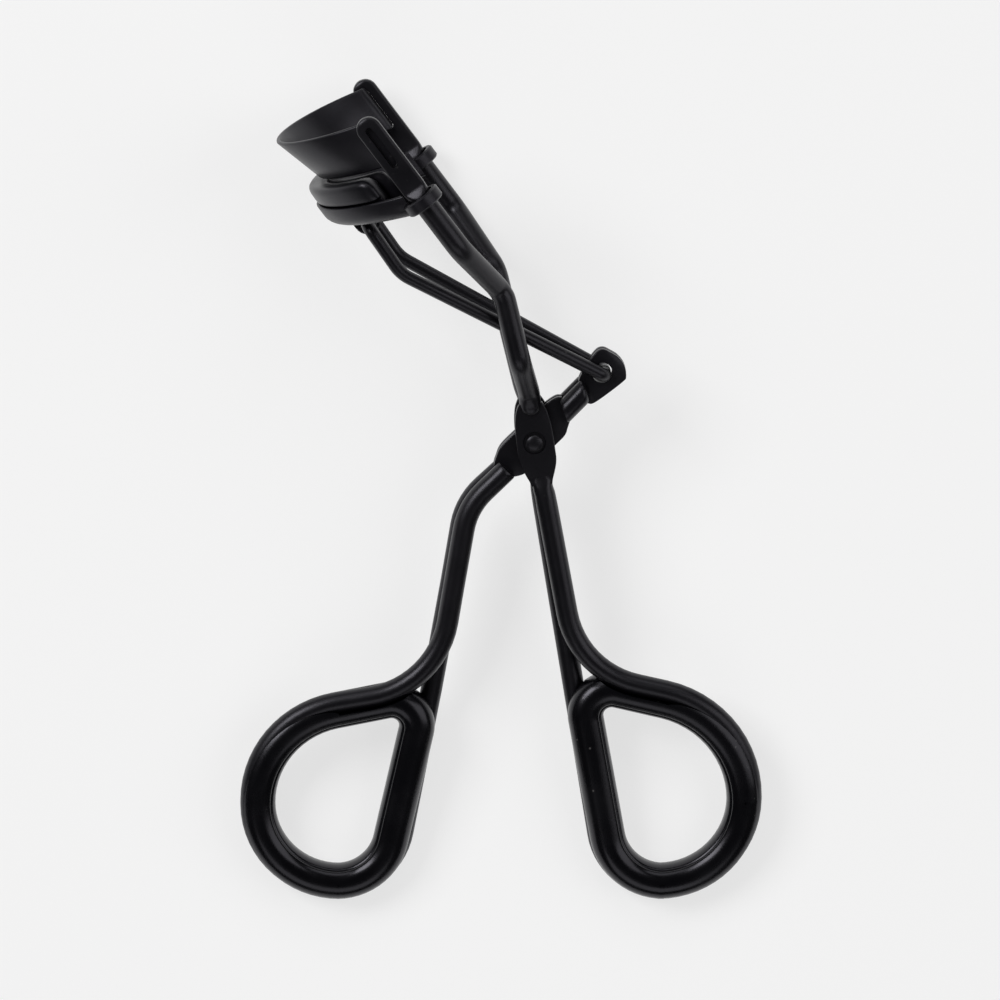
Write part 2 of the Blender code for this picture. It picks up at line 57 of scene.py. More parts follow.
# Levers: bent wire, flattened into bars at the jaws and plates at the rivet
GUIDE_W = 13.9
ROD_R = 1.45
BAR_TOP = 0.9
BAR_FOOT = -10.0
BAR_HALF_WIDTH = 1.58
BAR_HALF_THICK = 0.65
BAR_EDGE = 0.4
SLOT_TOP = -0.4
SLOT_FOOT = -6.45
SLOT_WIDTH = 0.84
ARM_R = 1.4
HANDLE_R = 1.38
STRAND_W = 1.5
FRAME_REAR_SHIFT = -0.45
SQUEEZE_REAR_SHIFT = -0.25
PLATE_HALF_THICK = 0.45
FRAME_PLATE_W = 1.8
SQUEEZE_PLATE_W = 0.6
SQUEEZE_ARM_W = ARM_R + 0.12
ARM_SLANT = 0.45
ARM_SLANT_STRETCH = 1.096
RIVET_R = 0.55
RIVET_HOLE_R = 0.85
RIVET_HEAD_R = 1.1
RIVET_TOP = 2.75
RECESS_R = 1.45
RECESS_DEPTH = 0.16

# Link: one wire hooked into the tab at one end and held in the sleeve at the other
LINK_R = 0.85
HOOK = Vector((8.6, 8.88, 0.0))
HOOK_HOLE_R = 1.3
HOOK_LEG_W = 2.25
HOOK_PLAY = Vector((0.33, -0.18, 0.0))
CROSSBAR_U = -11.8
CROSSBAR_V = 8.3
CROSSBAR_W = 5.8
LINK_BEND = Vector((-17.1, 22.65, 0.0))

# Both jaws: how far their walls lean, and the thickness of their sheet
JAW_LEAN = 0.27
SHEET = 0.6

# Upper jaw: a curved strip whose bent ends fill the slots of the guide bars
UPPER_REACH = 12.3
UPPER_SEAT_V = 0.1
UPPER_FOOT = -6.4
UPPER_TOP = 0.1
UPPER_FOOT_BULGE = 9.65
UPPER_TOP_BULGE = 11.3
UPPER_BEND_R = 0.8
UPPER_ARC_STEPS = 32
UPPER_ARC_SHARE = 0.92
TAB_REACH = 13.7
TAB_HALF_THICK = 0.385
TAB_CLEAR = 0.08

# Lower jaw: a curved channel with a collar on each rod and a sleeve on the link
JAW_CENTRE_V = -2.4
OUTER_WALL_R = 14.8
INNER_WALL_R = 11.6
JAW_END = math.radians(77)
INNER_WALL_TOP = -6.95
STEP_TOP = -9.8
STEP_START = math.radians(65)
STEP_END = math.radians(71)
FLOOR_EDGE_R = 1.5
FLOOR_MIDDLE = -12.95
FLOOR_DROP = 0.75
SHOULDER_MIDDLE = -9.7
SHOULDER_DROP = 0.7
COLLAR_R = 2.5
COLLAR_BORE_R = 1.85
COLLAR_TOP = -11.2
COLLAR_FOOT = -12.8
COLLAR_EDGE = 0.18
SLEEVE_R = 1.75
SLEEVE_BORE_R = 1.18
SLEEVE_REACH = 2.0
SLEEVE_EDGE = 0.15
PAD_END_DEGREES = 62
PAD_END = math.radians(PAD_END_DEGREES)
PAD_TOP = -7.0
PAD_CORE = (13.1, -9.3)

# Grips: soft rings grooved for the wire, with a moulding line inside the loop
GRIP_HALF_WIDTH = 2.3
GRIP_TOP = 2.6
GRIP_FOOT = 2.3
GRIP_POINTS = 96
GRIP_SQUARENESS = 0.88
GROOVE_CLEAR = 1.42
GROOVE_REACH = 3.0
GROOVE_START_Y = -18.0
MOULD_LINE_DEGREES = 137.0
MOULD_LINE_WIDTH = 3.5
MOULD_LINE_DEPTH = 0.05

# (y, centre x, half width) for the frame lever's plate, and (distance along, offset to the left,
# half width, slant) for the squeeze lever's plate and tab
FRAME_PLATE = (
    (5.1, -0.57, 1.5), (4.0, -0.42, 2.0), (1.9, -0.15, 2.33), (-1.3, 0.3, 2.4), (-2.6, 0.55, 2.3),
    (-3.9, 0.75, 1.9), (-4.9, 0.9, 1.5), (-5.5, 0.98, 1.36),
)
SQUEEZE_PLATE = (
    (5.8, 0.0, 1.45, 0.49),
    (5.1, 0.0, 1.9, 0.49),
    (4.3, 0.0, 2.2, 0.3),
    (3.2, 0.0, 2.35, 0.1),
    (2.0, 0.0, 2.35, 0.0),
    (-2.0, 0.15, 2.42, 0.0),
    (-3.8, 0.17, 2.3, 0.0),
    (-5.0, 0.17, 1.75, 0.0),
    (-5.6, 0.1, 1.4, 0.0),
)
TAB = (
    (15.2, -0.2, 0.4, 0.0),
    (15.05, -0.2, 1.05, 0.0),
    (14.7, -0.2, 1.9, 0.05),
    (14.2, -0.19, 2.45, 0.04),
    (13.6, -0.18, 2.6, 0.0),
    (11.8, -0.14, 2.4, 0.12),
    (9.85, -0.04, 2.1, 0.36),
    (9.3, 0.0, 1.75, 0.5),
    (8.8, 0.0, 1.36, 0.5),
)

# (x, y, bend radius) at each corner of a grip's centre line
RIGHT_GRIP = (
    (5.95, -31.7, 3.3), (27.35, -36.8, 13.6), (27.35, -58.25, 11.0), (10.85, -58.25, 7.4),
)
LEFT_GRIP = (
    (-13.8, -33.2, 3.3), (-35.3, -37.5, 12.3), (-35.3, -58.1, 10.5), (-19.4, -58.1, 7.1),
)

# (name, place, size, power) for each lamp, in metres and watts
LAMPS = (
    ("key", (-1.0, 0.65, 1.15), (0.75, 0.75), 14.0),
    ("fill", (1.2, 0.15, 1.15), (1.0, 1.4), 6.5),
    ("top", (0.1, 1.3, 1.0), (1.6, 0.8), 5.0),
    ("foot", (-0.1, -1.35, 1.1), (1.6, 0.8), 4.0),
)
SKY_STRENGTH = 0.05
TABLE_GREY = 0.31
TABLE_GLOW = 0.677

CAMERA_DISTANCE = 1.1
CAMERA_LEAN = math.radians(4.5)
CAMERA_TURN = math.radians(1.75)
CAMERA_BASE_TILT = math.radians(8.0)
CAMERA_AIM = Vector((-4.325, -7.743, 0.0)) * MM
LENS_MM = 310.46
SENSOR_MM = 36.0

hinge = next(joint for joint in frame["joints"] if joint["name"] == "squeeze_hinge")
PIVOT = Vector(hinge["pos_m"])
NORMAL = Vector(hinge["axis"])
REST = Matrix.Translation(PIVOT) @ Matrix.Rotation(math.atan2(-NORMAL.y, NORMAL.z), 4, "X")


def head(u, v=0.0, w=0.0):
    """A point given along and across the guide rods, from the jaws' end of them."""
    return HEAD_ORIGIN + u * HEAD_U + v * HEAD_V + w * UP


def blend(value, low, high):
    """How far a value lies from low to high, held between 0 and 1."""
    return min(1.0, max(0.0, (value - low) / (high - low)))


def round_wire(radius):
    """Half width, half thickness and corner radius of a round section."""
    return (radius, radius, radius)


def flat_wire(half_width, half_thick=PLATE_HALF_THICK, edge=0.16):
    """The same three sizes for wire pressed flat."""
    return (half_width, half_thick, edge)


def outline(half_width, half_thick, edge, steps=CORNER_POINTS):
    """A rounded rectangle drawn anticlockwise, with a number of points on each corner."""
    points = []
    for quarter, (right, top) in enumerate(((1, 1), (-1, 1), (-1, -1), (1, -1))):
        for step in range(steps):
            angle = math.pi / 2 * (quarter + (step + 0.5) / steps)
            across = right * (half_width - edge) + edge * math.cos(angle)
            points.append((across, top * (half_thick - edge) + edge * math.sin(angle)))
    return points


def stop(point, w, section, bend=0.0, slant=0.0):
    """One point of a wire's route: place, section, bend radius there, and how far the section leans."""
    return Vector((point[0], point[1], w)), section, bend, slant


def bend_stations(before, corner, after, radius):
    """(point, direction) along the arc that rounds off a corner."""
    way_in = (corner - before).normalized()
    way_out = (after - corner).normalized()
    turn = way_in.angle(way_out)
    start = corner - way_in * radius * math.tan(turn / 2)
    side = (way_out - way_in * way_in.dot(way_out)).normalized()
    count = max(2, math.ceil(turn / FINE_BEND))
    stations = []
    for step in range(count + 1):
        angle = turn * step / count
        point = start + radius * (way_in * math.sin(angle) + side * (1 - math.cos(angle)))
        stations.append((point, way_in * math.cos(angle) + side * math.sin(angle)))
    return stations


def stations_along(stops, closed=False):
    """(point, direction, section) along a wire. A corner with no bend keeps its section upright."""
    found = []
    last = len(stops) - 1
    for index, (point, section, bend, slant) in enumerate(stops):
        before = stops[index - 1][0] if index or closed else None
        after = stops[(index + 1) % len(stops)][0] if index < last or closed else None
        if bend:
            for place, direction in bend_stations(before, point, after, bend):
                found.append((place, direction, section))
            continue
        direction = Vector((0.0, 0.0, 0.0))
        if before is not None:
            direction += ((point - before) * Vector((1, 1, 0))).normalized()
        if after is not None:
            direction += ((after - point) * Vector((1, 1, 0))).normalized()
        direction.normalize()
        direction -= slant * UP.cross(direction)
        found.append((point, direction.normalized(), section))
    return found


def rings_along(stations):
    """The wire's section drawn at each station."""
    rings = []
    for place, direction, section in stations:
        side = UP.cross(direction).normalized()
        rise = direction.cross(side)
        rings.append([place + side * a + rise * b for a, b in outline(*section)])
    return rings


def smooth_table(table, count=4):
    """A Catmull-Rom curve through rows of numbers."""
    rows = [table[0], *table, table[-1]]
    found = []
    for index in range(1, len(rows) - 2):
        a, b, c, d = (np.array(rows[index + k - 1], float) for k in range(4))
        for step in range(count):
            t = step / count
            value = 0.5 * (
                2 * b + (c - a) * t + (2 * a - 5 * b + 4 * c - d) * t**2
                + (3 * b - a - 3 * c + d) * t**3
            )
            found.append(tuple(float(number) for number in value))
    return found + [table[-1]]


def loft(name, rings, closed=False, sharp=SHARP_DEGREES):
    """A closed mesh through rings of points, capped at both ends or joined into a hoop."""
    mesh = bpy.data.meshes.new(name)
    body = bmesh.new()
    rows = [[body.verts.new(REST @ (Vector(p) * MM)) for p in ring] for ring in rings]
    for near, far in zip(rows, rows[1:] + rows[:1] if closed else rows[1:]):
        for index in range(len(near)):
            following = (index + 1) % len(near)
            body.faces.new((near[index], near[following], far[following], far[index]))
    if not closed:
        body.faces.new(rows[0])
        body.faces.new(rows[-1])
    bmesh.ops.recalc_face_normals(body, faces=body.faces)
    body.to_mesh(mesh)
    body.free()
    mesh.shade_smooth()
    mesh.set_sharp_from_angle(angle=math.radians(sharp))
    made = bpy.data.objects.new(name, mesh)
    bpy.context.scene.collection.objects.link(made)
    return made


def combine(target, tools, operation, solver="EXACT"):
    """Joins the tools to the target, or cuts them from it, and keeps only the result."""
    for tool in tools:
        modifier = target.modifiers.new(tool.name, "BOOLEAN")
        modifier.operation = operation
        modifier.solver = solver
        modifier.object = tool
    bpy.context.view_layer.update()
    graph = bpy.context.evaluated_depsgraph_get()
    mesh = bpy.data.meshes.new_from_object(target.evaluated_get(graph))
    target.modifiers.clear()
    target.data = mesh
    for tool in tools:
        bpy.data.objects.remove(tool, do_unlink=True)
    mesh.shade_smooth()
    mesh.set_sharp_from_angle(angle=math.radians(SHARP_DEGREES))


def turned(name, centre, axis, profile, sides=48):
    """A profile of (radius, height) turned about an axis."""
    turn = axis.to_track_quat("Z", "Y")
    rings = []
    for radius, height in profile:
        ring = []
        for side in range(sides):
            angle = 2 * math.pi * side / sides
            spoke = Vector((radius * math.cos(angle), radius * math.sin(angle), height))
            ring.append(centre + turn @ spoke)
        rings.append(ring)
    return loft(name, rings)


def rod(name, centre, axis, radius, low, high):
    """A plain cylinder between two heights along an axis."""
    return turned(name, centre, axis, ((radius, low), (radius, high)))


def frame_handle(y, side):
    """The centre line of a strand of the frame lever's handle; side is +1 or -1."""
    if side > 0:
        return 1.7 - 0.1885 * (y + 8.5), y
    return 3.2 - 0.1665 * (y + 20.0), y


def plate_centre(y):
    """Where the frame lever's plate has its middle at a height above the rivet."""
    rows = sorted(FRAME_PLATE)
    return float(np.interp(y, [row[0] for row in rows], [row[1] for row in rows]))


def frame_arm(side):
    """From the guide bar's rounded end down to the step onto the pivot plate."""
    shift = FRAME_REAR_SHIFT if side < 0 else 0.0
    arm = round_wire(ARM_R)
    stops = []
    for distance in (0.03, 0.12, 0.28, 0.5, 0.8, 1.2, BAR_HALF_WIDTH):
        half = math.sqrt(BAR_HALF_WIDTH**2 - (BAR_HALF_WIDTH - distance) ** 2)
        thick = BAR_HALF_THICK - 0.22 * (1 - blend(distance, 0.0, 0.4)) ** 2
        place = head(BAR_TOP - distance)
        stops.append(stop(place, side * GUIDE_W, (half, thick, min(BAR_EDGE, half, thick))))
    for distance, half, thick, edge in (
        (0.0, BAR_HALF_WIDTH, BAR_HALF_THICK, BAR_EDGE),
        (0.35, 1.55, 0.8, 0.5),
        (0.75, 1.5, 1.12, 0.85),
        (1.1, 1.47, 1.36, 1.25),
        (1.4, ROD_R, ROD_R, ROD_R),
    ):
        stops.append(stop(head(BAR_FOOT - distance), side * GUIDE_W, (half, thick, edge)))
    stops += [
        stop(head(-19.8), side * GUIDE_W, round_wire(ROD_R), 3.5),
        stop(head(-27.8, -0.2), side * 6.6, arm, 2.5),
        stop((-4.05 + shift, 19.7), side * 6.5, arm, 2.5),
        stop((-2.0 + shift, 11.3), side * 6.6, arm, 2.5),
        stop((-0.7 + shift, 6.4), side * 1.85, arm, 2.5),
    ]
    reach = side * (FRAME_PLATE_W - 0.02)
    for y, radius in ((5.0, 1.38), (4.5, 1.34), (4.1, 1.22), (3.85, 1.0), (3.68, 0.66), (3.6, 0.3)):
        thick = min(ARM_R - 0.25, 0.5 + 0.65 * radius / ARM_R)
        stops.append(stop((plate_centre(y), y), reach, (radius, thick, min(radius, thick, 1.1))))
    return stops


def frame_plate(side):
    """The flat the rivet goes through."""
    stops = []
    for y, x, half_width in smooth_table(FRAME_PLATE):
        stops.append(stop((x, y), side * FRAME_PLATE_W, flat_wire(half_width)))
    return stops


def frame_neck(side):
    """From the foot of the pivot plate into the handle."""
    stops = []
    for y, half, thick, w in (
        (-4.5, 0.95, 0.5, 1.78),
        (-4.9, 1.2, 0.62, 1.74),
        (-5.4, 1.28, 0.85, 1.68),
        (-6.0, 1.3, 1.08, 1.62),
        (-6.8, 1.34, 1.26, 1.56),
    ):
        x = plate_centre(y) + (frame_handle(y, side)[0] - plate_centre(y)) * blend(-y, 4.4, 6.8)
        stops.append(stop((x, y), side * w, (half, thick, min(half, thick) * 0.98)))
    stops.append(stop(frame_handle(-8.5, side), side * STRAND_W, round_wire(HANDLE_R)))
    return stops


def frame_loop():
    """Down the front strand, round the right finger loop and back up the rear strand."""
    handle = round_wire(HANDLE_R)
    return [
        stop(frame_handle(-30.1, 1), STRAND_W, handle, 12.0),
        stop((28.2, -35.4), 0.9, handle, 14.6),
        stop((28.2, -59.35), -0.1, handle, 12.2),
        stop(frame_handle(-59.35, -1), -1.0, handle, 8.5),
        stop(frame_handle(-33.0, -1), -STRAND_W, handle),
        stop(frame_handle(-20.0, -1), -STRAND_W, handle),
    ]


def squeeze_neck(side):
    """From the step below the pivot plate into the handle."""
    out = HOOK.normalized()
    shift = SQUEEZE_REAR_SHIFT if side < 0 else 0.0
    arm = round_wire(ARM_R)
    arm_w = side * SQUEEZE_ARM_W
    return [
        stop(out * -5.0, arm_w, (1.32, 1.26, 1.2)),
        stop(out * -5.15, arm_w, (1.39, 1.38, 1.36)),
        stop(out * -5.5, arm_w, arm),
        stop((-8.46 + shift, -8.5), arm_w, arm, 9.0),
        stop((-10.22 + shift, -19.0), side * STRAND_W, round_wire(HANDLE_R)),
    ]


def squeeze_loop():
    """The same for the left finger loop."""
    handle = round_wire(HANDLE_R)
    return [
        stop((-12.35, -31.95), STRAND_W, handle, 12.0),
        stop((-36.15, -36.1), 0.9, handle, 13.3),
        stop((-36.15, -59.2), -0.1, handle, 11.5),
        stop((-18.0, -59.2), -1.0, handle, 9.0),
        stop((-12.95, -33.0), -STRAND_W, handle),
    ]


def flat_stretch(table, side):
    """The stations of the squeeze lever's plate or tab on one side."""
    out = HOOK.normalized()
    left = UP.cross(out)
    stops = []
    for along, offset, half, slant in smooth_table(table):
        section = flat_wire(half * math.hypot(1.0, slant))
        place = out * along + left * offset
        stops.append(stop(place, side * SQUEEZE_PLATE_W, section, 0.0, slant))
    return stops


def squeeze_arm(side):
    """The round stretch between the pivot plate and the tab, cut off aslant at both ends."""
    out = HOOK.normalized()
    stops = []
    for along, radius in (
        (9.45, 0.7), (9.4, 1.0), (9.25, 1.25), (9.0, 1.37), (8.7, ARM_R),
        (5.9, ARM_R), (5.55, 1.37), (5.4, 1.3),
    ):
        section = (radius * ARM_SLANT_STRETCH, radius, radius)
        stops.append(stop(out * along, side * SQUEEZE_ARM_W, section, 0.0, ARM_SLANT))
    return stops


def rivet_cutters(outer_face):
    """The rivet's hole and, where an outer face is given, the shallow recess round each head."""
    origin = Vector((0.0, 0.0, 0.0))
    cutters = [rod("rivet_hole", origin, UP, RIVET_HOLE_R, -4.0, 4.0)]
    if outer_face:
        for side in (1, -1):
            bottom = side * (outer_face - RECESS_DEPTH)
            rim = side * outer_face
            flare = (RECESS_R + 0.3, rim + side * 0.3)
            profile = ((RECESS_R - 0.1, bottom), (RECESS_R, rim), flare)
            if side < 0:
                profile = profile[::-1]
            cutters.append(turned(f"recess_{side}", origin, UP, profile))
    return cutters


def slot_cutter(side):
    """A long round-ended slot through a guide bar, eased at its outer edge."""
    half = (SLOT_TOP - SLOT_FOOT) / 2
    rings = []
    for w, grow in ((-1.5, 0.0), (0.58, 0.0), (0.72, 0.1), (1.5, 0.1)):
        ring = []
        width = SLOT_WIDTH / 2 + grow
        for across, along in outline(width, half + grow, width, 8):
            place = head(SLOT_TOP - half + along, UPPER_SEAT_V + across, side * (GUIDE_W + w))
            ring.append(place)
        rings.append(ring)
    return loft(f"slot_cutter_{side}", rings)


def make_frame_lever():
    """One wire: both guide bars, crossing arms, pivot plates and the right finger loop."""
    path = frame_neck(1) + frame_loop() + frame_neck(-1)[::-1]
    made = loft("frame_wire", rings_along(stations_along(path)))
    parts = []
    for side in (1, -1):
        parts.append(loft("frame_arm_part", rings_along(stations_along(frame_arm(side)))))
        parts.append(loft("frame_plate_part", rings_along(stations_along(frame_plate(side)))))
    combine(made, parts, "UNION")
    combine(made, [slot_cutter(1), slot_cutter(-1)], "DIFFERENCE")
    combine(made, rivet_cutters(FRAME_PLATE_W + PLATE_HALF_THICK), "DIFFERENCE")
    return made


def make_squeeze_lever():
    """One wire: the tab for the link, pivot plates and the left finger loop."""
    path = squeeze_neck(1) + squeeze_loop() + squeeze_neck(-1)[::-1]
    made = loft("squeeze_wire", rings_along(stations_along(path)))
    parts = []
    for side in (1, -1):
        flats = (flat_stretch(SQUEEZE_PLATE, side), flat_stretch(TAB, side))
        for stops in (*flats, squeeze_arm(side)):
            parts.append(loft("squeeze_part", rings_along(stations_along(stops))))
    combine(made, parts, "UNION")
    combine(made, rivet_cutters(0.0), "DIFFERENCE")
    combine(made, [rod("hook_hole", HOOK, UP, HOOK_HOLE_R, -2.5, 2.5)], "DIFFERENCE")
    return made


def rounded_off(value):
    """A sine or cosine pushed outwards a little, so that a circle fills its box better."""
    return math.copysign(abs(value) ** GRIP_SQUARENESS, value)


def grip_section():
    """The grip's outline, with a fine moulding line on its inner side, above and below."""
    points = []
    for index in range(GRIP_POINTS):
        angle = 2 * math.pi * (index + 0.5) / GRIP_POINTS
        from_line = math.degrees(math.acos(math.cos(angle))) - MOULD_LINE_DEGREES
        dip = 1.0 - MOULD_LINE_DEPTH * math.exp(-((from_line / MOULD_LINE_WIDTH) ** 2))
        reach = GRIP_TOP if angle < math.pi else GRIP_FOOT
        across = rounded_off(math.cos(angle)) * GRIP_HALF_WIDTH * dip
        rise = rounded_off(math.sin(angle)) * reach * dip
        points.append((across, rise))
    return points


def groove_cutters(name, path, outward):
    """Channels along the wire's front and rear strands, open on the ring's outer side."""
    course = [station for station in stations_along(path) if station[0].y < GROOVE_START_Y]
    middle = len(course) // 2
    cutters = []
    for label, part, clear in (
        ("front", course[: middle + 1], GROOVE_CLEAR),
        ("rear", course[middle - 1 :], GROOVE_CLEAR + 0.03),
    ):
        rings = []
        for place, direction, _ in part:
            side = UP.cross(direction).normalized() * outward
            ring = []
            for across, rise in ((-clear, -1), (GROOVE_REACH, -1), (GROOVE_REACH, 1), (-clear, 1)):
                ring.append(place + side * across + UP * rise * clear)
            rings.append(ring)
        cutters.append(loft(f"{name}_{label}", rings))
    return cutters


def make_grip(name, corners, path, outward):
    """A ring through its corners, grooved for the lever's wire."""
    stops = [stop((x, y), 0.0, None, bend) for x, y, bend in corners]
    rings = []
    for place, direction, _ in stations_along(stops, closed=True):
        side = UP.cross(direction).normalized() * outward
        rings.append([place + side * a + UP * b for a, b in grip_section()])
    made = loft(name, rings, closed=True)
    combine(made, groove_cutters(name, path, outward), "DIFFERENCE", "MANIFOLD")
    return made


def upper_plan(bulge):
    """(v, w, outward normal) along half the upper jaw, from its middle to the end of its tab."""
    rise = bulge - UPPER_SEAT_V
    radius = (UPPER_REACH**2 + rise**2) / (2 * rise)
    centre = bulge - radius
    end = math.asin(UPPER_REACH / radius)
    if centre > UPPER_SEAT_V:
        end = math.pi - end
    points = []
    for step in range(UPPER_ARC_STEPS + 1):
        angle = UPPER_ARC_SHARE * end * step / UPPER_ARC_STEPS
        normal = (math.cos(angle), math.sin(angle))
        points.append((centre + radius * normal[0], radius * normal[1], normal))
    before = Vector((points[-1][0], points[-1][1], 0.0))
    corner = Vector((UPPER_SEAT_V, UPPER_REACH, 0.0))
    way_in = (corner - before).normalized()
    way_out = Vector((0.0, 1.0, 0.0))
    turn = way_in.angle(way_out)
    side = (way_out - way_in * way_in.dot(way_out)).normalized()
    start = corner - way_in * UPPER_BEND_R * math.tan(turn / 2)
    for step in range(9):
        angle = turn * step / 8
        swing = way_in * math.sin(angle) + side * (1 - math.cos(angle))
        place = start + UPPER_BEND_R * swing
        way = way_in * math.cos(angle) + side * math.sin(angle)
        points.append((place.x, place.y, (way.y, -way.x)))
    for reach in (UPPER_REACH + 0.9, TAB_REACH):
        points.append((UPPER_SEAT_V, reach, (1.0, 0.0)))
    return points


def make_upper_jaw():
    """A flared strip with rounded edges, from one slotted bar round to the other."""
    half = []
    foot_plan = upper_plan(UPPER_FOOT_BULGE)
    top_plan = upper_plan(UPPER_TOP_BULGE)
    for index, ((v0, w0, n0), (v1, w1, n1)) in enumerate(zip(foot_plan, top_plan)):
        in_slot = index >= len(foot_plan) - 2
        thick = TAB_HALF_THICK if in_slot else SHEET / 2
        foot = UPPER_FOOT + JAW_LEAN * v0
        top = SLOT_TOP - TAB_CLEAR if in_slot else UPPER_TOP + JAW_LEAN * v1
        half.append(((v0, w0, n0, foot), (v1, w1, n1, top), thick))
    rings = []
    edge = []
    for step in range(7):
        angle = math.pi * (step + 0.5) / 7 - math.pi / 2
        edge.append((math.sin(angle), math.cos(angle)))
    for mirror, part in ((-1, half[:0:-1]), (1, half)):
        for low, high, thick in part:
            ring = []
            for (v, w, normal, u), turn in ((low, -1), (high, 1)):
                for across, along in edge:
                    sheet = thick * across * -turn
                    lift = u + turn * (along - 1.0) * thick
                    spot = (v + sheet * normal[0], mirror * (w + sheet * normal[1]))
                    ring.append(head(lift, *spot))
            rings.append(ring)
    return loft("upper_jaw_sheet", rings, sharp=50)


def on_jaw(radius, angle, height):
    """A point of the lower jaw, given round its centre and up its leaning wall."""
    v = JAW_CENTRE_V + radius * math.cos(angle)
    return head(height + JAW_LEAN * v, v, radius * math.sin(angle))


def shoulder(angle):
    """The top of the outer wall, a little lower at the ends."""
    return SHOULDER_MIDDLE - SHOULDER_DROP * blend(abs(angle), 0.0, JAW_END)


def floor_height(angle):
    """The underside of the channel, lower at the ends."""
    return FLOOR_MIDDLE - FLOOR_DROP * blend(abs(angle), 0.0, JAW_END) ** 2


def around(centre, radius, degrees):
    """A point on a circle."""
    angle = math.radians(degrees)
    return centre[0] + radius * math.cos(angle), centre[1] + radius * math.sin(angle)


def smooth_step(value):
    """Eases a value from 0 to 1 at both ends."""
    return value * value * (3 - 2 * value)


def eased_profile(radius, low, high, edge):
    """(radius, height) of a short tube whose rims are bevelled."""
    return (
        (radius - edge, low), (radius, low + edge), (radius, high - edge), (radius - edge, high),
    )


def channel_section(angle):
    """(radius, height) round the bent sheet, whose inner wall steps down near the ends."""
    step = smooth_step(blend(abs(angle), STEP_START, STEP_END))
    wall = INNER_WALL_TOP + (STEP_TOP - INNER_WALL_TOP) * step
    edge = shoulder(angle)
    low = floor_height(angle)
    inner = INNER_WALL_R - SHEET
    outer = OUTER_WALL_R - SHEET
    rim = SHEET / 2
    points = [around((inner + rim, wall - rim), rim, turn) for turn in (170, 135, 100, 80, 45, 10)]
    points.append((INNER_WALL_R, low + SHEET))
    centre = (OUTER_WALL_R - FLOOR_EDGE_R, low + FLOOR_EDGE_R)
    for turn in (-90, -60, -30, 0):
        points.append(around(centre, FLOOR_EDGE_R - SHEET, turn))
    points += [around((outer + rim, edge - rim), rim, turn) for turn in (170, 135, 100, 80, 45, 10)]
    for turn in (0, -15, -30, -45, -60, -75, -90):
        points.append(around(centre, FLOOR_EDGE_R, turn))
    for turn in (-90, -120, -150, 180):
        points.append(around((inner + 0.45, low + 0.45), 0.45, turn))
    return points


def make_lower_jaw():
    """The channel, a collar for each guide rod, and the sleeve on its tongue."""
    degrees = [2.5 * step for step in range(26)] + [66, 67, 68, 69, 70, 71, 72.5, 74.5, 77]
    angles = [math.radians(value) for value in degrees]
    angles = [-angle for angle in angles[:0:-1]] + angles
    rings = [[on_jaw(r, angle, h) for r, h in channel_section(angle)] for angle in angles]
    made = loft("lower_jaw_sheet", rings)
    centre = head(CROSSBAR_U, CROSSBAR_V)
    sleeve = eased_profile(SLEEVE_R, -SLEEVE_REACH, SLEEVE_REACH, SLEEVE_EDGE)
    joined = [turned("sleeve_body", centre, UP, sleeve)]
    corners = ((0.0, 0.0), (SLEEVE_R, 0.0), (SLEEVE_R, SLEEVE_R), (0.6, 1.45))
    tongue = []
    for w in (-SLEEVE_REACH, SLEEVE_REACH):
        tongue.append([head(CROSSBAR_U + rise, CROSSBAR_V + across, w) for across, rise in corners])
    joined.append(loft("sleeve_tongue", tongue))
    bores = [rod("sleeve_bore", centre, UP, SLEEVE_BORE_R, -4.0, 4.0)]
    for side in (1, -1):
        at = head(0.0, 0.0, side * GUIDE_W)
        collar = eased_profile(COLLAR_R, COLLAR_FOOT, COLLAR_TOP, COLLAR_EDGE)
        joined.append(turned(f"collar_{side}", at, HEAD_U, collar))
        bores.append(rod(f"collar_bore_{side}", at, HEAD_U, COLLAR_BORE_R, -18.0, -6.0))
    combine(made, joined, "UNION")
    combine(made, bores, "DIFFERENCE")
    return made


def make_pad():
    """The cushion in the channel: a lip over the outer wall, a crowned top and rounded ends."""
    seat = INNER_WALL_R + 0.12
    wall = OUTER_WALL_R - SHEET - 0.1
    rings = []
    # The stations crowd together where the ends round off.
    stations = [0, 0.25, 0.7, 1.4, 2.4, 3.8, 5.5] + list(range(8, 117, 3))
    stations += [118.5, 120.2, 121.6, 122.6, 123.3, 123.75, 124]
    for degrees in stations:
        angle = math.radians(degrees - PAD_END_DEGREES)
        lip = shoulder(angle) + 0.04
        low = floor_height(0.0) + SHEET + 0.2
        section = [
            (seat, low), (wall, low), (wall, lip - 0.1), (14.12, lip), (14.33, lip + 0.08),
            (14.44, lip + 0.3), (14.45, lip + 0.8), (14.42, PAD_TOP - 1.0), (14.33, PAD_TOP - 0.62),
            (14.15, PAD_TOP - 0.32), (13.88, PAD_TOP - 0.12), (13.5, PAD_TOP - 0.02),
            (12.9, PAD_TOP), (12.35, PAD_TOP - 0.04), (12.0, PAD_TOP - 0.18),
            (seat + 0.05, PAD_TOP - 0.45),
        ]
        inset = 1.0 - math.sqrt(1.0 - (1.0 - blend(PAD_END - abs(angle), 0.0, 0.11)) ** 2)
        shrink = 1.0 - 0.62 * inset
        ring = []
        for radius, height in section:
            across = PAD_CORE[0] + (radius - PAD_CORE[0]) * shrink
            ring.append(on_jaw(across, angle, PAD_CORE[1] + (height - PAD_CORE[1]) * shrink))
        rings.append(ring)
    return loft("lash_cushion", rings, sharp=60)


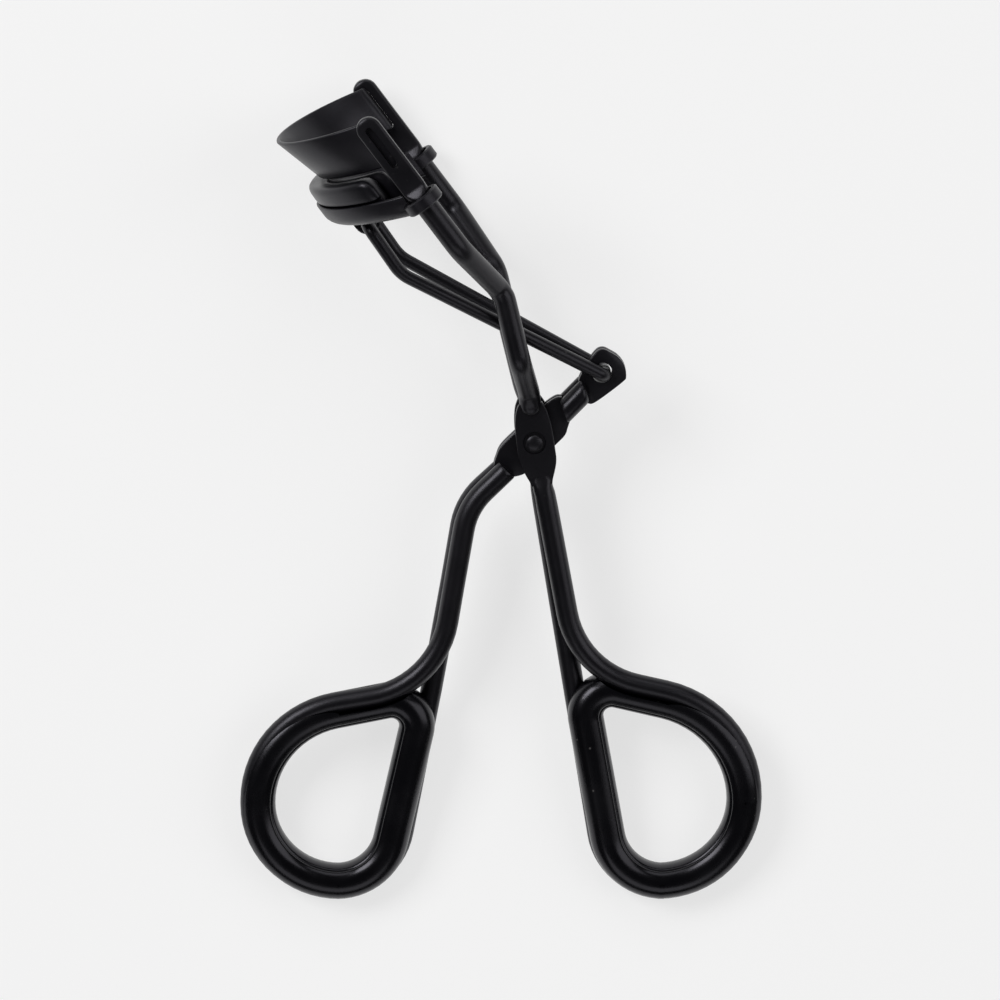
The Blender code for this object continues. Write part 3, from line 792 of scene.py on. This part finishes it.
def make_link():
    """One bent wire: a hooked leg on each side, joined by the crossbar in the jaw's sleeve."""
    crossbar = head(CROSSBAR_U, CROSSBAR_V)
    half = [
        (HOOK + HOOK_PLAY + UP * 0.25, 0.0),
        (HOOK + HOOK_PLAY + UP * HOOK_LEG_W, 1.1),
        (LINK_BEND + UP * CROSSBAR_W, 5.0),
        (crossbar + UP * CROSSBAR_W, 1.3),
    ]
    points = half + [(point * Vector((1, 1, -1)), bend) for point, bend in half[::-1]]
    line = [points[0][0], points[0][0] + UP * 0.12]
    ways = [UP, UP]
    for index in range(1, len(points) - 1):
        corner, bend = points[index]
        before, after = points[index - 1][0], points[index + 1][0]
        for place, way in bend_stations(before, corner, after, bend):
            line.append(place)
            ways.append(way)
    line += [points[-1][0] - UP * 0.12, points[-1][0]]
    ways += [UP, UP]
    side = Vector((1.0, 0.0, 0.0))
    rings = []
    for index, (place, way) in enumerate(zip(line, ways)):
        side = (side - way * side.dot(way)).normalized()
        other = way.cross(side)
        radius = LINK_R - 0.12 if index in (0, len(line) - 1) else LINK_R
        ring = []
        for step in range(24):
            angle = 2 * math.pi * step / 24
            ring.append(place + radius * (side * math.cos(angle) + other * math.sin(angle)))
        rings.append(ring)
    return loft("link_wire", rings)


def make_rivet():
    """A pin with a low dome at each end."""
    shelf = FRAME_PLATE_W + PLATE_HALF_THICK - RECESS_DEPTH + 0.06
    half = [(RIVET_R, 0.0), (RIVET_R, shelf), (RIVET_HEAD_R - 0.06, shelf)]
    dome = RIVET_TOP - shelf - 0.22
    for step in range(9):
        angle = math.radians(10 * step)
        half.append((RIVET_HEAD_R * math.cos(angle), shelf + 0.22 + dome * math.sin(angle)))
    profile = [(radius, -height) for radius, height in half[:0:-1]] + half[1:]
    return turned("rivet", Vector((0.0, 0.0, 0.0)), UP, profile)


def node(tree, kind, **values):
    """A new node with some of its sockets set."""
    made = tree.nodes.new(kind)
    for key, value in values.items():
        made.inputs[key].default_value = value
    return made


def ramp(tree, source, low, low_colour, high, high_colour):
    """Turns a texture's value into a colour between two others."""
    made = tree.nodes.new("ShaderNodeValToRGB")
    first, last = made.color_ramp.elements
    first.position = low
    first.color = (*low_colour, 1.0)
    last.position = high
    last.color = (*high_colour, 1.0)
    tree.links.new(source.outputs[0], made.inputs["Fac"])
    return made.outputs["Color"]


def lint_mask(tree, specks, patch, dust):
    """Small specks, kept only within a few patches."""
    white = (1.0, 1.0, 1.0)
    black = (0.0, 0.0, 0.0)
    spot = ramp(tree, specks, 0.05, white, 0.11, black)
    where = ramp(tree, patch, 0.52, black, 0.62, white)
    lint = tree.nodes.new("ShaderNodeMath")
    lint.operation = "MULTIPLY"
    tree.links.new(spot, lint.inputs[0])
    tree.links.new(where, lint.inputs[1])
    amount = tree.nodes.new("ShaderNodeMath")
    amount.operation = "MULTIPLY"
    amount.inputs[1].default_value = dust
    tree.links.new(lint.outputs["Value"], amount.inputs[0])
    return amount.outputs["Value"]


def black_finish(name, colour, roughness, grain, bump, dust, smear):
    """A dark finish: fine grain in the bump, cloudy gloss, a little lint and faint rubbed streaks."""
    material = bpy.data.materials.new(name)
    material.use_nodes = True
    tree = material.node_tree
    link = tree.links.new
    surface = tree.nodes["Principled BSDF"]
    surface.inputs["Metallic"].default_value = 0.0
    surface.inputs["Specular IOR Level"].default_value = 0.4
    surface.inputs["Specular Tint"].default_value = (0.92, 0.9, 1.0, 1.0)
    place = tree.nodes.new("ShaderNodeTexCoord")
    cloud = node(tree, "ShaderNodeTexNoise", Scale=140.0, Detail=5.0, Roughness=0.6)
    fine = node(tree, "ShaderNodeTexNoise", Scale=grain, Detail=3.0, Roughness=0.7)
    streak = node(tree, "ShaderNodeTexNoise", Scale=420.0, Detail=6.0, Roughness=0.75)
    specks = node(tree, "ShaderNodeTexVoronoi", Scale=620.0, Randomness=1.0)
    patch = node(tree, "ShaderNodeTexNoise", Scale=75.0, Detail=2.0)
    for texture in (cloud, fine, streak, specks, patch):
        link(place.outputs["Object"], texture.inputs["Vector"])
    gloss = tree.nodes.new("ShaderNodeMapRange")
    gloss.inputs["From Min"].default_value = 0.3
    gloss.inputs["From Max"].default_value = 0.7
    gloss.inputs["To Min"].default_value = roughness - smear
    gloss.inputs["To Max"].default_value = roughness + smear
    link(cloud.outputs["Fac"], gloss.inputs["Value"])
    link(gloss.outputs["Result"], surface.inputs["Roughness"])
    darker = [channel * 0.8 for channel in colour]
    lighter = [channel * 1.3 for channel in colour]
    mix = tree.nodes.new("ShaderNodeMix")
    mix.data_type = "RGBA"
    link(lint_mask(tree, specks, patch, dust), mix.inputs["Factor"])
    link(ramp(tree, streak, 0.3, darker, 0.75, lighter), mix.inputs[6])
    mix.inputs[7].default_value = (0.3, 0.29, 0.28, 1.0)
    link(mix.outputs[2], surface.inputs["Base Color"])
    relief = node(tree, "ShaderNodeBump", Strength=bump, Distance=0.00004)
    link(fine.outputs["Fac"], relief.inputs["Height"])
    link(relief.outputs["Normal"], surface.inputs["Normal"])
    return material


def finish_piece(piece, body, nodes, material):
    """Gives a piece its material and its moving body, and hides the solids that it stands for."""
    piece.data.materials.clear()
    piece.data.materials.append(material)
    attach(piece, body)
    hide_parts(*nodes)


coated = black_finish(
    "coated_steel", (0.0026, 0.0024, 0.0034),
    roughness=0.35, grain=5200.0, bump=0.3, dust=0.08, smear=0.05,
)
pressed = black_finish(
    "coated_sheet", (0.003, 0.0027, 0.0042),
    roughness=0.37, grain=6500.0, bump=0.35, dust=0.06, smear=0.05,
)
rubber = black_finish(
    "moulded_grip", (0.0008, 0.0008, 0.0014),
    roughness=0.25, grain=2600.0, bump=0.12, dust=0.25, smear=0.06,
)
silicone = black_finish(
    "silicone", (0.0022, 0.0021, 0.0034),
    roughness=0.33, grain=7000.0, bump=0.2, dust=0.1, smear=0.06,
)

finish_piece(make_frame_lever(), "frame", ["frame_lever"], coated)
finish_piece(make_squeeze_lever(), "squeeze", ["squeeze_lever"], coated)
finish_piece(make_rivet(), "frame", ["pivot_rivet"], coated)
finish_piece(make_link(), "link", ["push_link"], coated)
finish_piece(make_upper_jaw(), "frame", ["upper_jaw"], pressed)
finish_piece(make_lower_jaw(), "jaw", ["lower_jaw"], pressed)
pad = make_pad()
finish_piece(pad, "jaw", ["lash_pad"], silicone)
right_path = frame_neck(1) + frame_loop()
left_path = squeeze_neck(1) + squeeze_loop()
right = make_grip("right_grip_ring", RIGHT_GRIP, right_path, 1)
left = make_grip("left_grip_ring", LEFT_GRIP, left_path, -1)
finish_piece(right, "frame", ["right_grip"], rubber)
finish_piece(left, "squeeze", ["left_grip"], rubber)


def make_floor():
    """A pale table top, partly lit from within so that the shadows on it stay faint."""
    mesh = bpy.data.meshes.new("floor")
    body = bmesh.new()
    bmesh.ops.create_grid(body, x_segments=2, y_segments=2, size=1.5)
    body.to_mesh(mesh)
    body.free()
    floor = bpy.data.objects.new("floor", mesh)
    bpy.context.scene.collection.objects.link(floor)
    material = bpy.data.materials.new("pale_table")
    material.use_nodes = True
    surface = material.node_tree.nodes["Principled BSDF"]
    surface.inputs["Base Color"].default_value = (TABLE_GREY, TABLE_GREY, TABLE_GREY, 1.0)
    surface.inputs["Emission Color"].default_value = (1.0, 1.0, 1.0, 1.0)
    surface.inputs["Emission Strength"].default_value = TABLE_GLOW
    surface.inputs["Roughness"].default_value = 0.9
    surface.inputs["Specular IOR Level"].default_value = 0.0
    mesh.materials.append(material)


def area_light(name, place, size, power):
    """A soft rectangular lamp aimed at the middle of the tool."""
    light = bpy.data.lights.new(name, "AREA")
    light.shape = "RECTANGLE"
    light.size, light.size_y = size
    light.energy = power
    lamp = bpy.data.objects.new(name, light)
    bpy.context.scene.collection.objects.link(lamp)
    lamp.location = place
    lamp.rotation_euler = (-Vector(place)).to_track_quat("-Z", "Y").to_euler()


def make_lights():
    """A dim white surround and four soft lamps."""
    world = bpy.data.worlds.new("studio")
    bpy.context.scene.world = world
    world.use_nodes = True
    sky = world.node_tree.nodes["Background"]
    sky.inputs["Color"].default_value = (1.0, 1.0, 1.0, 1.0)
    sky.inputs["Strength"].default_value = SKY_STRENGTH
    for name, place, size, power in LAMPS:
        area_light(name, place, size, power)
    view = bpy.context.scene.view_settings
    view.view_transform = "Standard"
    view.look = "None"


def make_camera():
    """The lens axis leans 12.5 degrees from the rivet's axis, and a little to the left."""
    across = -math.sin(CAMERA_TURN)
    along = math.sin(CAMERA_LEAN) * math.cos(CAMERA_TURN)
    up = math.cos(CAMERA_LEAN) * math.cos(CAMERA_TURN)
    back = Vector((across, along, up))
    rise = (Vector((0.0, 1.0, 0.0)) - back * back.y).normalized()
    right_way = rise.cross(back)
    rest_tilt = math.atan2(-NORMAL.y, NORMAL.z)
    swing = Matrix.Rotation(rest_tilt - CAMERA_BASE_TILT, 3, "X")
    matrix = Matrix([swing @ column for column in (right_way, rise, back)]).transposed().to_4x4()
    matrix.translation = PIVOT + swing @ (CAMERA_AIM + back * CAMERA_DISTANCE)
    lens = bpy.data.cameras.new("camera")
    lens.sensor_width = SENSOR_MM
    lens.lens = LENS_MM
    lens.clip_start = 0.05
    lens.clip_end = 20.0
    camera = bpy.data.objects.new("camera", lens)
    bpy.context.scene.collection.objects.link(camera)
    camera.matrix_world = matrix
    bpy.context.scene.camera = camera


make_floor()
make_lights()
make_camera()
